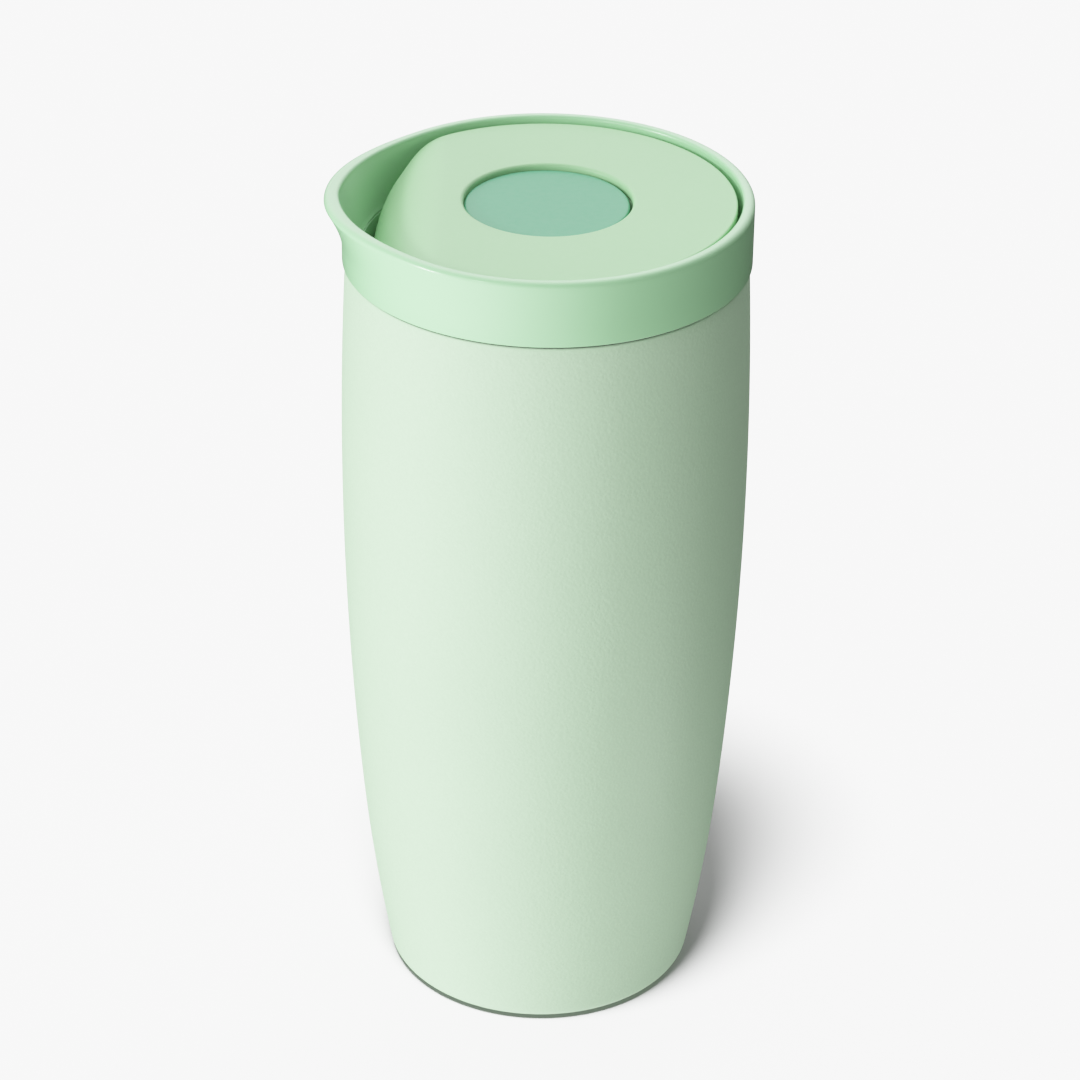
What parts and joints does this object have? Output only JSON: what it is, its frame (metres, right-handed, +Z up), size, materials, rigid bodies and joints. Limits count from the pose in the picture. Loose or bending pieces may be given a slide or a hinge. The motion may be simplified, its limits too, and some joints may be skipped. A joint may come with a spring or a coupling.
{
  "type": "insulated travel mug",
  "caption": "Vacuum-insulated steel travel mug with a barrel-shaped body and a screw-in lid with a drinking spout and a push-button valve.",
  "frame": {"origin": "centre of the base pad's resting face, on the axis of the mug", "axes": "+Z up along the mug's axis, spout towards -X"},
  "size_m": [0.0905, 0.0876, 0.1881],
  "materials": {
    "powder_coat": "fine-textured matte powder coat",
    "steel": "satin",
    "getter_metal": "sintered",
    "silicone": "matte",
    "lid_plastic": "satin",
    "inner_plastic": "satin",
    "acetal": "smooth",
    "button_plastic": "satin",
    "spring_steel": "bright drawn wire"
  },
  "bodies": {
    "flask": {"outer_shell": "powder_coat", "inner_liner": "steel", "outer_base": "steel", "vacuum_seal": "steel", "getter": "getter_metal", "base_pad": "silicone"},
    "gasket_ring": {"lid_gasket": "silicone"},
    "lid": {"lid_collar": "lid_plastic", "lid_plug": "lid_plastic", "top_cover": "lid_plastic", "button_guide": "inner_plastic", "cam_sleeve": "acetal", "stem_seal": "silicone", "return_spring": "spring_steel"},
    "plunger": {"button": "button_plastic", "button_seal": "silicone", "valve_stem": "acetal", "valve_seal": "silicone", "valve_plug": "inner_plastic", "valve_nut": "inner_plastic"},
    "rotor": {"cam_rotor": "acetal"}
  },
  "joints": [
    {"name": "lid_rise", "type": "slide", "parent": "flask", "child": "gasket_ring", "axis": [0, 0, 1], "range_m": [0, 0.036]},
    {"name": "lid_turn", "type": "hinge", "parent": "gasket_ring", "child": "lid", "pos_m": [0, 0, 0.174], "axis": [0, 0, 1], "range_deg": [0, 1080]},
    {"name": "button_press", "type": "slide", "parent": "lid", "child": "plunger", "axis": [0, 0, -1], "range_m": [0, 0.004], "stiffness_N_per_m": 800, "springref_m": -0.006, "deforming": ["return_spring"]},
    {"name": "rotor_turn", "type": "hinge", "parent": "plunger", "child": "rotor", "pos_m": [0, 0, 0.173], "axis": [0, 0, 1], "range_deg": [0, 45]}
  ],
  "couplings": [
    {"joint": "lid_rise", "follows": "lid_turn", "m_per_rad": 0.0019099},
    {"joint": "rotor_turn", "follows": "button_press", "rad_per_m": 196.35}
  ]
}
